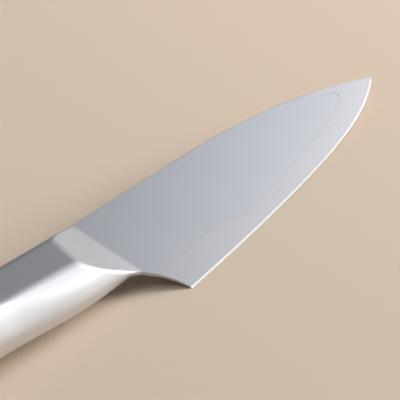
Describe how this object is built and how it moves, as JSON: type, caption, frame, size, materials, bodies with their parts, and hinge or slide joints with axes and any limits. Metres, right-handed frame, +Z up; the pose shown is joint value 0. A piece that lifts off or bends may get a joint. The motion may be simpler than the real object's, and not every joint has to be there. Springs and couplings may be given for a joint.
{
  "type": "petty knife",
  "caption": "Petty knife with a blade of brazed steels, a ramped bolster and a smooth hollow steel handle, lying on its side with the heel of its edge and its handle flank on the surface.",
  "frame": {"origin": "bottom centre of the bounding box of the knife lying as pictured, on the surface that it lies on", "axes": "+X along the blade's middle plane from butt to tip, +Z up from the surface, +Y from the edge's side to the spine's side"},
  "size_m": [0.234, 0.0272, 0.0175],
  "materials": {
    "body_steel": "fine satin ground flat, cool grey",
    "edge_steel": "fine satin with a bright honed bevel",
    "braze_copper": "thin brownish copper line, dressed flush",
    "handle_steel": "smooth bright satin"
  },
  "bodies": {
    "root": {"blade_body": "body_steel", "cutting_edge": "edge_steel", "braze_seam": "braze_copper", "bolster_cheek_right": "handle_steel", "bolster_cheek_left": "handle_steel", "neck_weld": "handle_steel", "handle_shell_right": "handle_steel", "handle_shell_left": "handle_steel", "handle_seam_weld": "handle_steel"}
  },
  "joints": []
}
